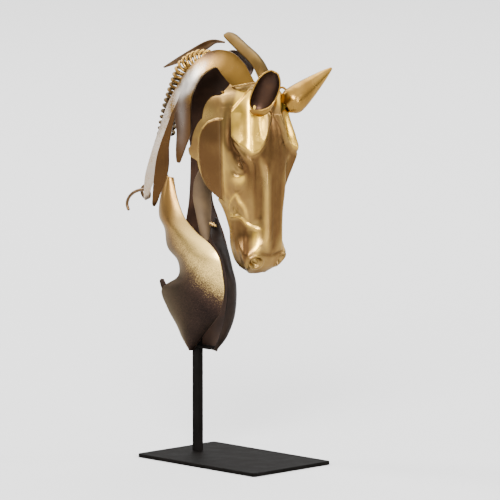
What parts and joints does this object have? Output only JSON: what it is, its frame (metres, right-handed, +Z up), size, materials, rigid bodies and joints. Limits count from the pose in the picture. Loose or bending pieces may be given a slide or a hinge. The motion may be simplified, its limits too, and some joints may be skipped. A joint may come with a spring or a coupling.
{
  "type": "sheet-metal horse head sculpture",
  "caption": "Hollow sheet-metal horse head with rolled ears, arched mane sheet and wire coil, held by an upright bar on a flat rectangular base",
  "frame": {"origin": "centre of the base plate's underside", "axes": "+X the way the horse faces, along the base's long side; +Y the horse's left; +Z up"},
  "size_m": [0.2254, 0.113, 0.3997],
  "materials": {
    "black_paint": "satin black coating",
    "dark_patina": "dark brown lacquered sheet",
    "brown_patina": "brown lacquered sheet",
    "gold_to_black": "gold coating that fades to speckled black",
    "pale_gold": "bright pale gold coating",
    "gold": "satin gold coating"
  },
  "bodies": {
    "root": {"base_plate": "black_paint", "post": "black_paint", "neck_floor": "dark_patina", "near_neck_plate": "gold_to_black", "far_neck_plate": "dark_patina", "chest_plate": "dark_patina", "throat_plate": "brown_patina", "weld_cluster": "gold", "crest_plate": "pale_gold", "mane_spring": "gold", "mane_curl": "brown_patina", "mane_sickle": "brown_patina", "forelock_plate": "gold", "head_shell": "gold", "ear_near": "gold", "ear_far": "gold"}
  },
  "joints": []
}
